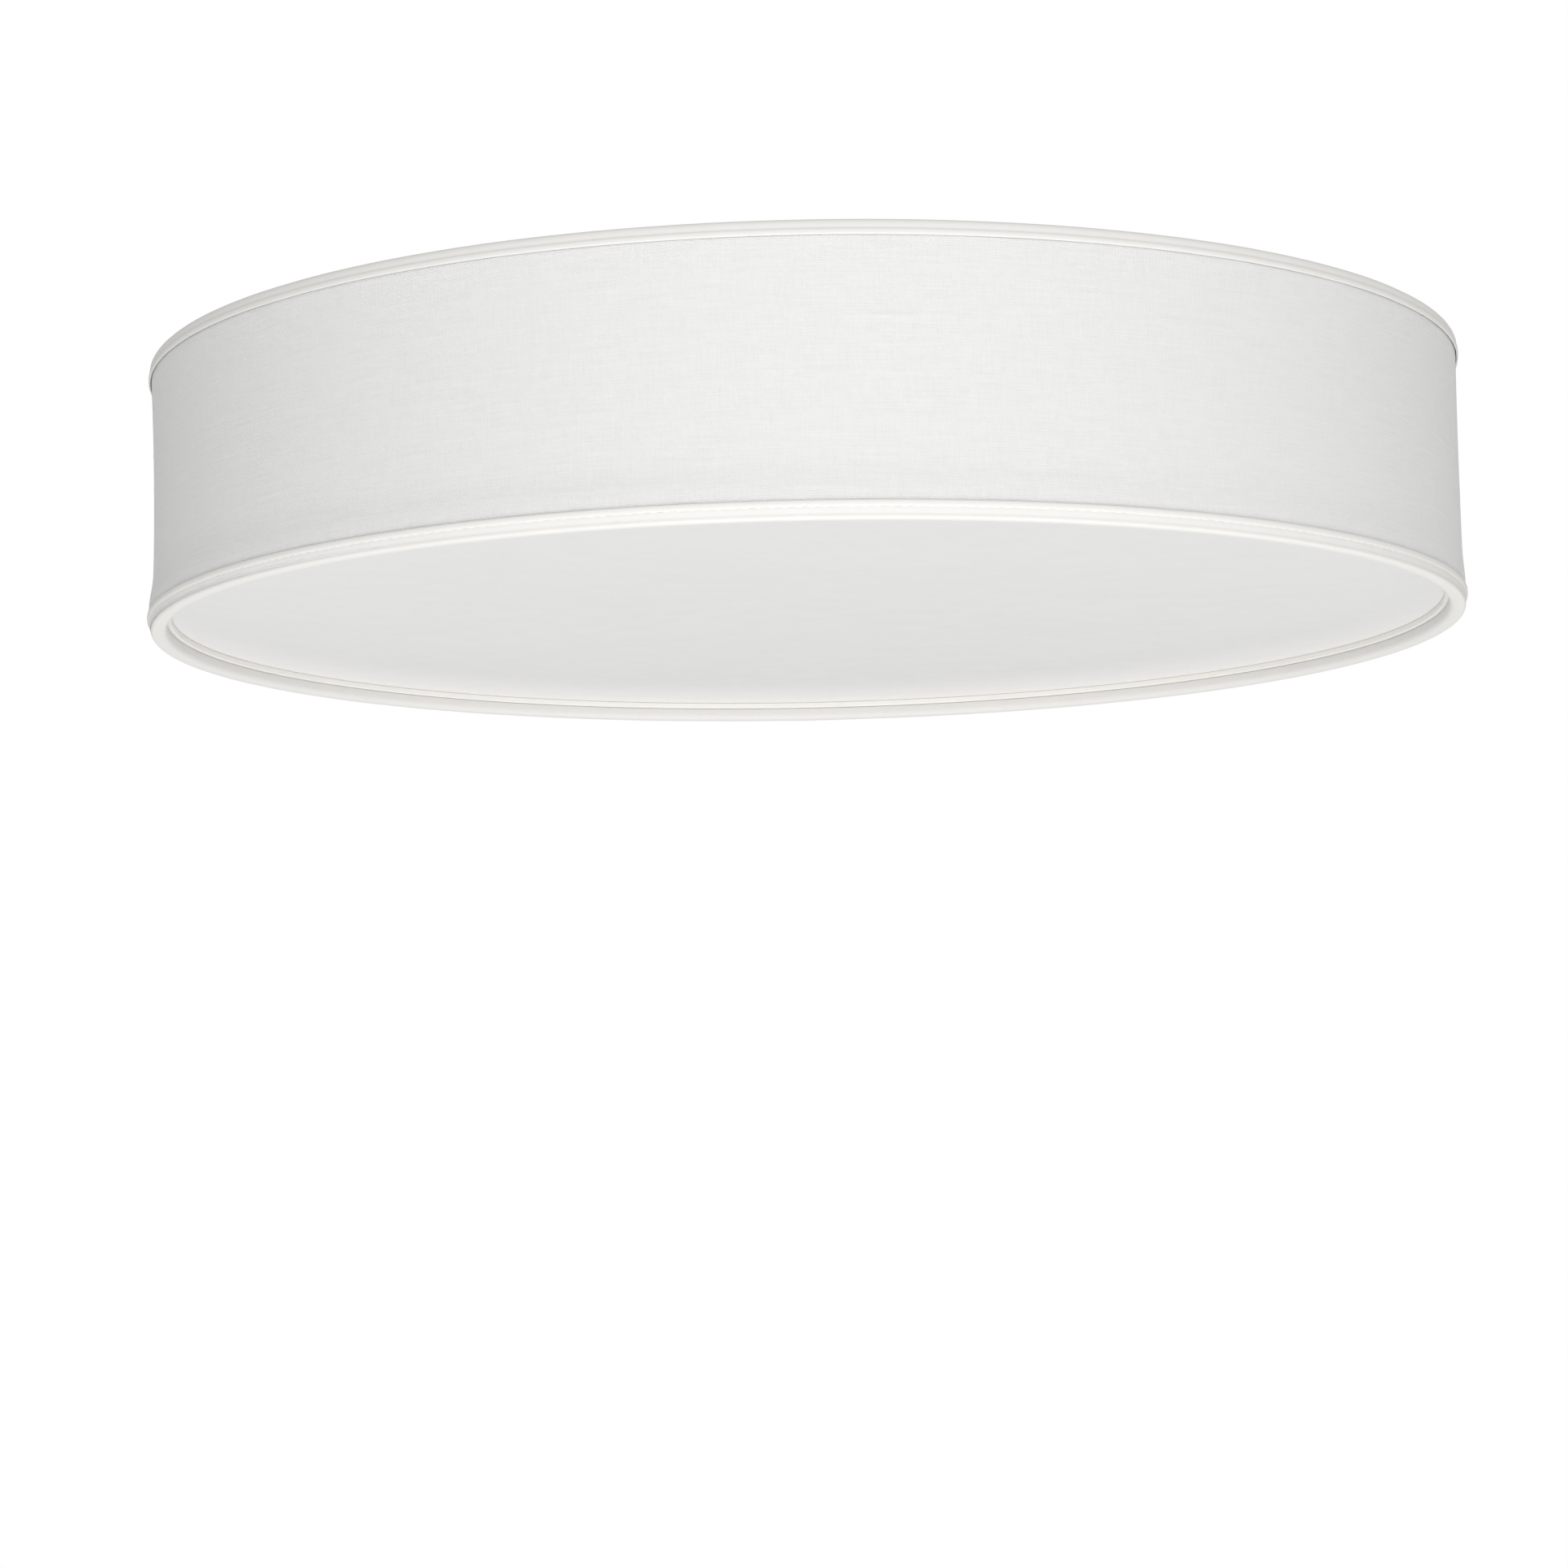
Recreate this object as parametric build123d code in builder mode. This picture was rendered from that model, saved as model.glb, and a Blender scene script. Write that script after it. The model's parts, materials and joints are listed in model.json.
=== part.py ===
from build123d import *
import math
import os

# A drum ceiling light. All sizes are in millimetres. The ceiling is the plane z = 0,
# the light hangs below it, and its front faces -Y.

# Clearances
glue_gap = 0.1            # between layers that are glued or welded together
part_gap = 0.3            # between a loose or moving piece and its seat
thread_gap = 0.05         # around a threaded shank

# Drum shade: fabric on a stiff liner, held open by two wire rings
shade_radius = 304.8      # over the beads of the trims
shade_height = 123.0
ceiling_gap = 4.0         # between the ceiling and the drum's top edge
fabric_thickness = 0.5
liner_thickness = 0.5
waist_draw = 0.9          # how far the wall draws in halfway between the rings
ring_wire = 5.0
ring_clearance = 0.2      # between a ring's wire and the tape around it

# Binding tape over both edges of the drum
trim_thickness = 0.6
trim_round = 2.0          # corner where the tape turns over the fabric's edge
bead_depth = 0.5          # how far the folded edge stands out from the band
top_band_height = 6.4
top_bead_height = 2.2
top_tuck_height = 7.0     # how far the tape reaches inside the drum
bottom_band_height = 7.8
bottom_bead_height = 4.2

# Diffuser and the flat ring that carries it
ledge_width = 2.0         # how much of the ring shows inside the bottom trim
seat_thickness = 2.4
seat_clearance = 0.5      # between the ring and the liner
diffuser_thickness = 3.0
diffuser_clearance = 2.0  # between the disc and the liner's waist
diffuser_edge = 0.4

# Crossbar on the ceiling box
box_spacing = 88.9
slot_width = 5.0
slot_length = 14.0
bar_width = 22.0
bar_thickness = 2.0
bar_end_margin = 4.5      # metal left beyond each slot
collar_wall = 3.0
collar_height = 3.0

# Threaded tube, its nuts and washers
tube_diameter = 10.29
tube_bore = 7.0
tube_recess = 0.3         # below the ceiling plane
tube_reach = 3.0          # below the shade nut
hex_nut_width = 16.0
hex_nut_height = 3.5
pan_nut_height = 5.0
washer_thickness = 1.2
washer_radius = 13.0
lock_washer_thickness = 0.8
lock_washer_teeth = 10
hole_clearance = 0.25     # around the tube in plain holes

# Pan that covers the ceiling box
pan_radius = 90.0
pan_depth = 25.0
pan_wall = 1.0
pan_corner = 6.0
rim_width = 6.0

# Wire holes in the pan
grommet_ring_radius = 52.0
grommet_bore = 3.0
grommet_wall = 1.6
grommet_flange = 1.8
grommet_lip = 1.2

# Spider that carries the shade
hub_radius = 20.0
hub_thickness = 2.0
arm_wire = 4.0
arm_bend = 30.0
arm_pan_clearance = 10.0  # beyond the pan before an arm climbs
arm_nut_clearance = 3.0
arm_end_run = 25.0        # level run where an arm meets the top ring
shade_nut_radius = 12.0
shade_nut_height = 6.0
shade_nut_grooves = 30
shade_nut_groove = 0.6

# Lampholders
lamp_count = 3
lamp_drop = 25.0          # from the pan's floor down to the lamp axis
bracket_reach = 38.0
bracket_wall = 1.6
bracket_width = 26.0
bracket_tab = 17.0
bracket_tail = 14.0       # below the lamp axis
socket_radius = 18.0
socket_length = 45.0
socket_back = 10.0
socket_round = 1.5
shell_wall = 0.5
shell_inset = 1.0         # below the socket's mouth
shell_floor_hole = 9.0
wire_hole = 1.75
wire_hole_spread = 7.0
tongue_wall = 0.6
tongue_width = 6.0
tongue_height = 9.0

# Machine screws and their nuts
screw_diameter = 4.0
screw_head_radius = 3.8
screw_head_height = 2.2
screw_slot = 1.0
screw_nut_width = 7.0
screw_nut_height = 3.0
screw_end = 1.5           # thread left beyond a nut
bracket_screw_spread = 14.0
socket_screw_spread = 22.0
socket_screw_depth = 6.0
ground_screw_offset = 27.0
ground_head_radius = 4.6
ground_head_height = 2.6

# Lamps with a 26 mm screw cap
lamp_length = 109.0
globe_radius = 30.0
globe_wall = 1.2
housing_length = 26.0
housing_front = 24.0
housing_back = 15.0
housing_wall = 1.6
cap_radius = 13.0
cap_wall = 0.6
cap_collar = 2.5
cap_lead = 1.5
thread_pitch = 3.629
thread_depth = 0.6
cap_turns = 5
shell_turns = 7
contact_radius = 4.8
contact_height = 1.5
insulator_height = 3.5
board_thickness = 1.6
board_clearance = 0.5
chip_size = 3.0
chip_height = 0.7
chip_circle = 13.0
chip_count = 10

# Drum: radii of its layers from the outside in, and the heights of its edges
band_radius = shade_radius - bead_depth
fabric_radius = band_radius - trim_thickness - glue_gap
liner_radius = fabric_radius - fabric_thickness - glue_gap
liner_inside = liner_radius - liner_thickness
ring_radius = liner_inside - glue_gap - ring_wire / 2
wrap_radius = ring_wire / 2 + ring_clearance + trim_thickness
tuck_radius = ring_radius - wrap_radius
shade_top = -ceiling_gap
shade_bottom = shade_top - shade_height
top_ring_z = shade_top - wrap_radius
bottom_ring_z = shade_bottom + wrap_radius
bottom_tuck_height = wrap_radius + ring_wire / 2 + glue_gap
seat_bottom = shade_bottom + bottom_tuck_height + glue_gap
seat_top = seat_bottom + seat_thickness
seat_inside = tuck_radius - ledge_width
seat_outside = liner_inside - seat_clearance
diffuser_bottom = seat_top + part_gap
diffuser_radius = liner_inside - waist_draw - diffuser_clearance

# Stack along the threaded tube, from the ceiling down
tube_radius = tube_diameter / 2
tapped_radius = tube_radius + thread_gap
plain_radius = tube_radius + hole_clearance
collar_bottom = -bar_thickness - collar_height
bar_nut_top = collar_bottom - lock_washer_thickness
pan_bottom = -pan_depth
pan_floor = pan_bottom + pan_wall
pan_nut_top = pan_bottom - washer_thickness
hub_top = pan_nut_top - pan_nut_height
hub_bottom = hub_top - hub_thickness
tube_end = hub_bottom - shade_nut_height - tube_reach
hex_corner = hex_nut_width / math.sqrt(3)

# Lamp axis: distances from the light's centre, outwards
lamp_z = pan_bottom - lamp_drop
holder_back = bracket_reach + bracket_wall
cavity_floor = holder_back + socket_back
socket_mouth = holder_back + socket_length
contact_tip = cavity_floor + tongue_height + part_gap
insulator_start = contact_tip + contact_height
cap_start = insulator_start + insulator_height
cap_end = cap_start + cap_lead + cap_turns * thread_pitch + cap_collar
housing_end = cap_end + housing_length
lamp_end = contact_tip + lamp_length
globe_centre = lamp_end - globe_radius
cap_mean = cap_radius - thread_depth / 2
cap_inside = cap_radius - thread_depth - cap_wall
shell_mean = cap_radius + part_gap + thread_depth / 2
socket_bore = shell_mean + thread_depth / 2 + shell_wall + glue_gap

lamp_angles = [360 / lamp_count * number for number in range(lamp_count)]
arm_angles = [angle + 180 / lamp_count for angle in lamp_angles]
screw_radius = screw_diameter / 2
screw_hole = screw_radius + hole_clearance
bracket_screw_circle = bracket_reach - bracket_tab / 2

os.makedirs("parts", exist_ok=True)


def finish(builder, name):
    """Name a finished piece and write its file."""
    builder.part.label = name
    export_step(builder.part, f"parts/{name}.step")


def radial(angle):
    """Level direction out from the centre."""
    turn = math.radians(angle)
    return Vector(math.cos(turn), math.sin(turn), 0)


def upright_plane(angle, height=0):
    """Upright plane through the centre: x runs outwards and y runs up."""
    out = radial(angle)
    return Plane(origin=(0, 0, height), x_dir=out, z_dir=(out.Y, -out.X, 0))


def edge_plane(height, into):
    """Upright plane on a drum edge: x runs outwards and y runs into the drum."""
    return Plane(origin=(0, 0, height), x_dir=(1, 0, 0), z_dir=(0, -into, 0))


def wall_section(outside, thickness):
    """Section of one layer of the drum's wall, drawn in between the rings."""
    top = shade_top - trim_round
    bottom = shade_bottom + trim_round
    middle = (top + bottom) / 2
    inside = outside - thickness
    with BuildSketch(Plane.XZ) as section:
        with BuildLine():
            ThreePointArc((outside, top), (outside - waist_draw, middle), (outside, bottom))
            Line((outside, bottom), (inside, bottom))
            ThreePointArc((inside, bottom), (inside - waist_draw, middle), (inside, top))
            Line((inside, top), (outside, top))
        make_face()
    return section.sketch


def trim_section(plane, band_height, bead_height, tuck_height):
    """Section of the tape, folded over the fabric's edge and the ring's wire."""
    band_inside = band_radius - trim_thickness
    tuck_outside = tuck_radius + trim_thickness
    corner = (band_radius - trim_round, trim_round)
    wire = (ring_radius, wrap_radius)
    with BuildSketch(plane) as section:
        with BuildLine():
            Line((band_radius, band_height), (band_radius, trim_round))
            CenterArc(corner, trim_round, 0, -90)
            Line((corner[0], 0), (ring_radius, 0))
            CenterArc(wire, wrap_radius, -90, -90)
            Line((tuck_radius, wrap_radius), (tuck_radius, tuck_height))
            Line((tuck_radius, tuck_height), (tuck_outside, tuck_height))
            Line((tuck_outside, tuck_height), (tuck_outside, wrap_radius))
            CenterArc(wire, wrap_radius - trim_thickness, 180, 90)
            Line((ring_radius, trim_thickness), (corner[0], trim_thickness))
            CenterArc(corner, trim_round - trim_thickness, -90, 90)
            Line((band_inside, trim_round), (band_inside, band_height))
            Line((band_inside, band_height), (band_radius, band_height))
        make_face()
        bead_width = trim_thickness + bead_depth
        bead_middle = (band_inside + bead_width / 2, band_height - bead_height / 2)
        with Locations(bead_middle):
            Rectangle(bead_width, bead_height)
        outer_corners = section.vertices().group_by(Axis.X)[-1]
        fillet(outer_corners, radius=0.8 * bead_depth)
    return section.sketch


def ring_section(height):
    """Round section of a wire ring."""
    with BuildSketch(Plane.XZ) as section:
        with Locations((ring_radius, height)):
            Circle(ring_wire / 2)
    return section.sketch


def thread_line(start, radius, turns):
    """Outline of a rolled thread: two arcs for each turn."""
    half = thread_pitch / 2
    arcs = []
    for step in range(2 * turns):
        left = start + step * half
        swing = thread_depth / 2 if step % 2 else -thread_depth / 2
        arcs.append(ThreePointArc((left, radius), (left + half / 2, radius + swing), (left + half, radius)))
    return arcs


def strip_section(plane, points, thickness):
    """Section of a bent strip, with its thickness to the left of the points."""
    with BuildSketch(plane) as section:
        with BuildLine():
            Polyline(*points)
            offset(amount=thickness, side=Side.LEFT, kind=Kind.INTERSECTION)
        make_face()
    return section.sketch


def nut(height_top, height, width, bore):
    """Hexagon nut on the threaded tube, below the given height."""
    with BuildPart() as piece:
        with BuildSketch(Plane.XY.offset(height_top)):
            RegularPolygon(radius=width / math.sqrt(3), side_count=6)
            Circle(bore, mode=Mode.SUBTRACT)
        extrude(amount=-height)
        rims = piece.edges().filter_by(GeomType.CIRCLE)
        chamfer(rims, length=0.4)
    return piece


# --- Drum shade ---

with BuildPart() as shade_fabric:
    revolve(wall_section(fabric_radius, fabric_thickness), axis=Axis.Z)
finish(shade_fabric, "shade_fabric")

with BuildPart() as shade_liner:
    revolve(wall_section(liner_radius, liner_thickness), axis=Axis.Z)
finish(shade_liner, "shade_liner")

with BuildPart() as top_ring:
    revolve(ring_section(top_ring_z), axis=Axis.Z)
finish(top_ring, "top_ring")

with BuildPart() as bottom_ring:
    revolve(ring_section(bottom_ring_z), axis=Axis.Z)
finish(bottom_ring, "bottom_ring")

# The top tape is slit where each arm reaches the ring inside it.
with BuildPart() as top_trim:
    revolve(
        trim_section(edge_plane(shade_top, -1), top_band_height, top_bead_height, top_tuck_height),
        axis=Axis.Z,
    )
    for angle in arm_angles:
        slit = Plane(origin=radial(angle) * (tuck_radius - trim_thickness) + Vector(0, 0, top_ring_z),
                     z_dir=radial(angle))
        with BuildSketch(slit):
            Circle(arm_wire / 2 + part_gap)
        extrude(amount=3 * trim_thickness, mode=Mode.SUBTRACT)
finish(top_trim, "top_trim")

with BuildPart() as bottom_trim:
    revolve(
        trim_section(edge_plane(shade_bottom, 1), bottom_band_height, bottom_bead_height, bottom_tuck_height),
        axis=Axis.Z,
    )
finish(bottom_trim, "bottom_trim")

with BuildPart() as diffuser_seat:
    with BuildSketch(Plane.XY.offset(seat_bottom)):
        Circle(seat_outside)
        Circle(seat_inside, mode=Mode.SUBTRACT)
    extrude(amount=seat_thickness)
finish(diffuser_seat, "diffuser_seat")

with BuildPart() as diffuser:
    with BuildSketch(Plane.XY.offset(diffuser_bottom)):
        Circle(diffuser_radius)
    extrude(amount=diffuser_thickness)
    fillet(diffuser.edges().filter_by(GeomType.CIRCLE), radius=diffuser_edge)
finish(diffuser, "diffuser")

# --- Crossbar, threaded tube and pan ---

bar_length = box_spacing + slot_length + 2 * bar_end_margin

with BuildPart() as crossbar:
    with BuildSketch(Plane.XY):
        RectangleRounded(bar_length, bar_width, bar_width / 4)
        with GridLocations(box_spacing, 0, 2, 1):
            SlotOverall(slot_length, slot_width, mode=Mode.SUBTRACT)
        with Locations((ground_screw_offset, 0)):
            Circle(screw_radius + thread_gap, mode=Mode.SUBTRACT)
    extrude(amount=-bar_thickness)
    with BuildSketch(Plane.XY.offset(-bar_thickness)):
        Circle(tapped_radius + collar_wall)
    extrude(amount=-collar_height)
    with BuildSketch(Plane.XY):
        Circle(tapped_radius)
    extrude(amount=collar_bottom, mode=Mode.SUBTRACT)
finish(crossbar, "crossbar")

with BuildPart() as ground_screw:
    with BuildSketch(Plane.XY.offset(-bar_thickness)):
        with Locations((ground_screw_offset, 0)):
            RegularPolygon(radius=ground_head_radius, side_count=6)
    extrude(amount=-ground_head_height)
    with BuildSketch(Plane.XY.offset(-bar_thickness)):
        with Locations((ground_screw_offset, 0)):
            Circle(screw_radius)
    extrude(amount=bar_thickness - tube_recess)
    with BuildSketch(Plane.XY.offset(-bar_thickness - ground_head_height)):
        with Locations((ground_screw_offset, 0)):
            Rectangle(2 * ground_head_radius, screw_slot)
    extrude(amount=ground_head_height / 2, mode=Mode.SUBTRACT)
finish(ground_screw, "ground_screw")

with BuildPart() as threaded_tube:
    with BuildSketch(Plane.XY.offset(-tube_recess)):
        Circle(tube_radius)
        Circle(tube_bore / 2, mode=Mode.SUBTRACT)
    extrude(amount=tube_end + tube_recess)
    chamfer(threaded_tube.edges().group_by(Axis.Z)[0], length=0.5)
finish(threaded_tube, "threaded_tube")

with BuildPart() as lock_washer:
    with BuildSketch(Plane.XY.offset(collar_bottom)):
        Circle(tapped_radius + collar_wall)
        with PolarLocations(tapped_radius + collar_wall, lock_washer_teeth):
            Rectangle(collar_wall, 1.2)
        Circle(plain_radius, mode=Mode.SUBTRACT)
    extrude(amount=-lock_washer_thickness)
finish(lock_washer, "lock_washer")

crossbar_nut = nut(bar_nut_top, hex_nut_height, hex_nut_width, tapped_radius)
finish(crossbar_nut, "crossbar_nut")

with BuildPart() as pan:
    with BuildSketch(Plane.XY):
        Circle(pan_radius)
    extrude(amount=-pan_depth)
    fillet(pan.edges().group_by(Axis.Z)[0], radius=pan_corner)
    offset(amount=-pan_wall, openings=pan.faces().sort_by(Axis.Z)[-1])
    with BuildSketch(Plane.XY):
        Circle(pan_radius + rim_width)
        Circle(pan_radius - pan_wall, mode=Mode.SUBTRACT)
    extrude(amount=-pan_wall)
    with BuildSketch(Plane.XY.offset(pan_bottom)):
        Circle(plain_radius)
        with PolarLocations(grommet_ring_radius, lamp_count, start_angle=arm_angles[0]):
            Circle(grommet_bore + grommet_wall + glue_gap)
        for angle in lamp_angles:
            with Locations(radial(angle) * bracket_screw_circle):
                with PolarLocations(bracket_screw_spread / 2, 2, start_angle=angle + 90):
                    Circle(screw_hole)
    extrude(amount=pan_wall, mode=Mode.SUBTRACT)
finish(pan, "pan")

with BuildPart() as pan_washer:
    with BuildSketch(Plane.XY.offset(pan_bottom)):
        Circle(washer_radius)
        Circle(plain_radius, mode=Mode.SUBTRACT)
    extrude(amount=-washer_thickness)
finish(pan_washer, "pan_washer")

pan_nut = nut(pan_nut_top, pan_nut_height, hex_nut_width, tapped_radius)
finish(pan_nut, "pan_nut")

# Each wire bushing is a tube with a flange on both sides of the pan's floor.
with BuildPart() as wire_grommets:
    for angle in arm_angles:
        centre = radial(angle) * grommet_ring_radius
        bushing = Plane(origin=centre + Vector(0, 0, pan_bottom - grommet_lip), z_dir=(0, 0, 1))
        tube_outside = grommet_bore + grommet_wall
        with BuildSketch(bushing):
            Circle(tube_outside)
        extrude(amount=pan_wall + 2 * grommet_lip)
        for face_height in (0, pan_wall + grommet_lip):
            with BuildSketch(bushing.offset(face_height)):
                Circle(tube_outside + grommet_flange)
            extrude(amount=grommet_lip)
        with BuildSketch(bushing):
            Circle(grommet_bore)
        extrude(amount=pan_wall + 2 * grommet_lip, mode=Mode.SUBTRACT)
finish(wire_grommets, "wire_grommets")

# --- Spider and the nut that holds the shade ---

with BuildPart() as spider_hub:
    with BuildSketch(Plane.XY.offset(hub_bottom)):
        Circle(hub_radius)
        Circle(plain_radius, mode=Mode.SUBTRACT)
    extrude(amount=hub_thickness)
finish(spider_hub, "spider_hub")

arm_low = hub_top + glue_gap + arm_wire / 2
arm_start = hex_corner + arm_nut_clearance
arm_climb = pan_radius + arm_pan_clearance
arm_end = ring_radius - ring_wire / 2 - glue_gap

for number, angle in enumerate(arm_angles, 1):
    with BuildPart() as spider_arm:
        with BuildLine(upright_plane(angle)) as route:
            FilletPolyline(
                (arm_start, arm_low),
                (arm_climb, arm_low),
                (arm_end - arm_end_run, top_ring_z),
                (arm_end, top_ring_z),
                radius=arm_bend,
            )
        with BuildSketch(Plane(origin=route.line @ 0, z_dir=route.line % 0)):
            Circle(arm_wire / 2)
        sweep(path=route.line)
    finish(spider_arm, f"spider_arm_{number}")

with BuildPart() as shade_nut:
    with BuildSketch(Plane.XY.offset(hub_bottom)):
        Circle(shade_nut_radius)
        with PolarLocations(shade_nut_radius, shade_nut_grooves):
            Circle(shade_nut_groove, mode=Mode.SUBTRACT)
        Circle(tapped_radius, mode=Mode.SUBTRACT)
    extrude(amount=-shade_nut_height)
finish(shade_nut, "shade_nut")

# --- Lampholders and lamps ---

for number, angle in enumerate(lamp_angles, 1):
    side_plane = upright_plane(angle, lamp_z)
    lamp_axis = Axis((0, 0, lamp_z), radial(angle))
    back_plane = Plane(origin=radial(angle) * holder_back + Vector(0, 0, lamp_z), z_dir=radial(angle),
                       x_dir=side_plane.z_dir)

    with BuildPart() as bracket:
        corners = [
            (bracket_reach - bracket_tab, lamp_drop),
            (holder_back, lamp_drop),
            (holder_back, -bracket_tail),
        ]
        section = strip_section(side_plane, list(reversed(corners)), bracket_wall)
        extrude(section, amount=bracket_width / 2, both=True)
        with BuildSketch(Plane(origin=radial(angle) * bracket_screw_circle + Vector(0, 0, pan_bottom),
                               x_dir=side_plane.z_dir, z_dir=(0, 0, -1))):
            with GridLocations(bracket_screw_spread, 0, 2, 1):
                Circle(screw_hole)
        extrude(amount=bracket_wall, mode=Mode.SUBTRACT)
        with BuildSketch(back_plane):
            with GridLocations(0, socket_screw_spread, 1, 2):
                Circle(screw_hole)
            with GridLocations(2 * wire_hole_spread, 0, 2, 1):
                Circle(wire_hole)
        extrude(amount=-bracket_wall, mode=Mode.SUBTRACT)
    finish(bracket, f"bracket_{number}")

    with BuildPart() as socket_body:
        with BuildSketch(side_plane):
            with BuildLine():
                Polyline(
                    (holder_back, 0),
                    (holder_back, socket_radius),
                    (socket_mouth, socket_radius),
                    (socket_mouth, socket_bore),
                    (cavity_floor, socket_bore),
                    (cavity_floor, 0),
                    close=True,
                )
            make_face()
        revolve(axis=lamp_axis)
        rims = socket_body.edges().filter_by(GeomType.CIRCLE)
        outer_rims = [edge for edge in rims if edge.radius > (socket_bore + socket_radius) / 2]
        fillet(outer_rims, radius=socket_round)
        with BuildSketch(back_plane):
            with GridLocations(0, socket_screw_spread, 1, 2):
                Circle(screw_radius + thread_gap)
        extrude(amount=socket_screw_depth + thread_gap, mode=Mode.SUBTRACT)
        with BuildSketch(back_plane):
            with GridLocations(2 * wire_hole_spread, 0, 2, 1):
                Circle(wire_hole)
        extrude(amount=socket_back, mode=Mode.SUBTRACT)
    finish(socket_body, f"socket_body_{number}")

    shell_end = socket_mouth - shell_inset
    shell_thread = shell_end - shell_turns * thread_pitch
    with BuildPart() as screw_shell:
        with BuildSketch(side_plane):
            with BuildLine():
                Line((shell_end, shell_mean), (shell_end, shell_mean + shell_wall))
                thread_line(shell_thread, shell_mean, shell_turns)
                thread_line(shell_thread, shell_mean + shell_wall, shell_turns)
                Polyline(
                    (shell_thread, shell_mean),
                    (cavity_floor + shell_wall, shell_mean),
                    (cavity_floor + shell_wall, shell_floor_hole),
                    (cavity_floor, shell_floor_hole),
                    (cavity_floor, shell_mean + shell_wall),
                    (shell_thread, shell_mean + shell_wall),
                )
            make_face()
        revolve(axis=lamp_axis)
    finish(screw_shell, f"screw_shell_{number}")

    with BuildPart() as socket_contact:
        tongue_half = (shell_floor_hole - tongue_wall) * 0.8
        tongue_points = [
            (cavity_floor, -tongue_half),
            (cavity_floor, -contact_radius / 2),
            (contact_tip - part_gap - tongue_wall, 0),
            (contact_tip - part_gap - tongue_wall, contact_radius / 2),
        ]
        section = strip_section(side_plane, list(reversed(tongue_points)), tongue_wall)
        extrude(section, amount=tongue_width / 2, both=True)
    finish(socket_contact, f"socket_contact_{number}")

    with BuildPart() as lamp_contact:
        with BuildSketch(side_plane):
            with BuildLine():
                Polyline(
                    (insulator_start, 0),
                    (insulator_start, contact_radius),
                    (insulator_start - contact_height / 2, contact_radius),
                    (contact_tip, contact_radius / 2),
                    (contact_tip, 0),
                    close=True,
                )
            make_face()
        revolve(axis=lamp_axis)
    finish(lamp_contact, f"lamp_contact_{number}")

    insulator_front = insulator_start + glue_gap
    with BuildPart() as lamp_insulator:
        with BuildSketch(side_plane):
            with BuildLine():
                Polyline(
                    (insulator_front, 0),
                    (insulator_front, contact_radius + part_gap),
                    (cap_start, cap_inside - glue_gap),
                    (cap_start + cap_lead, cap_inside - glue_gap),
                    (cap_start + cap_lead, 0),
                    close=True,
                )
            make_face()
        revolve(axis=lamp_axis)
    finish(lamp_insulator, f"lamp_insulator_{number}")

    cap_thread = cap_start + cap_lead
    cap_thread_end = cap_thread + cap_turns * thread_pitch
    with BuildPart() as lamp_cap:
        with BuildSketch(side_plane):
            with BuildLine():
                Polyline(
                    (cap_thread, cap_mean),
                    (cap_start, cap_inside + cap_wall / 2),
                    (cap_start, cap_inside),
                    (cap_end, cap_inside),
                    (cap_end, cap_mean),
                    (cap_thread_end, cap_mean),
                )
                thread_line(cap_thread, cap_mean, cap_turns)
            make_face()
        revolve(axis=lamp_axis)
    finish(lamp_cap, f"lamp_cap_{number}")

    # The housing is a cup with its floor towards the globe, and a skirt inside the cap.
    skirt = cap_inside - glue_gap
    with BuildPart() as lamp_housing:
        with BuildSketch(side_plane):
            with BuildLine():
                Polyline(
                    (cap_end + glue_gap, skirt),
                    (cap_end + glue_gap, housing_back),
                    (housing_end, housing_front),
                    (housing_end, 0),
                    (housing_end - housing_wall, 0),
                    (housing_end - housing_wall, housing_front - 2 * housing_wall),
                    (cap_end + housing_wall, skirt - housing_wall),
                    (cap_end - cap_collar, skirt - housing_wall),
                    (cap_end - cap_collar, skirt),
                    close=True,
                )
            make_face()
        revolve(axis=lamp_axis)
    finish(lamp_housing, f"lamp_housing_{number}")

    board_start = housing_end + glue_gap
    board_end = board_start + board_thickness
    with BuildPart() as lamp_board:
        board_plane = Plane(origin=radial(angle) * board_start + Vector(0, 0, lamp_z), z_dir=radial(angle))
        with BuildSketch(board_plane):
            Circle(housing_front - globe_wall - board_clearance)
        extrude(amount=board_thickness)
        with BuildSketch(board_plane.offset(board_thickness)):
            with PolarLocations(chip_circle, chip_count):
                Rectangle(chip_size, chip_size)
        extrude(amount=chip_height)
    finish(lamp_board, f"lamp_board_{number}")

    with BuildPart() as lamp_globe:
        with BuildSketch(side_plane):
            neck = (board_start, housing_front)
            neck_inside = (board_start, housing_front - globe_wall)
            crown = (globe_centre, globe_radius)
            crown_inside = (globe_centre, globe_radius - globe_wall)
            with BuildLine():
                TangentArc(crown, neck, tangent=(-1, 0))
                CenterArc((globe_centre, 0), globe_radius, 0, 90)
                Line((lamp_end, 0), (lamp_end - globe_wall, 0))
                CenterArc((globe_centre, 0), globe_radius - globe_wall, 0, 90)
                TangentArc(crown_inside, neck_inside, tangent=(-1, 0))
                Line(neck_inside, neck)
            make_face()
        revolve(axis=lamp_axis)
    finish(lamp_globe, f"lamp_globe_{number}")

# --- Fasteners of the brackets and sockets ---

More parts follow.
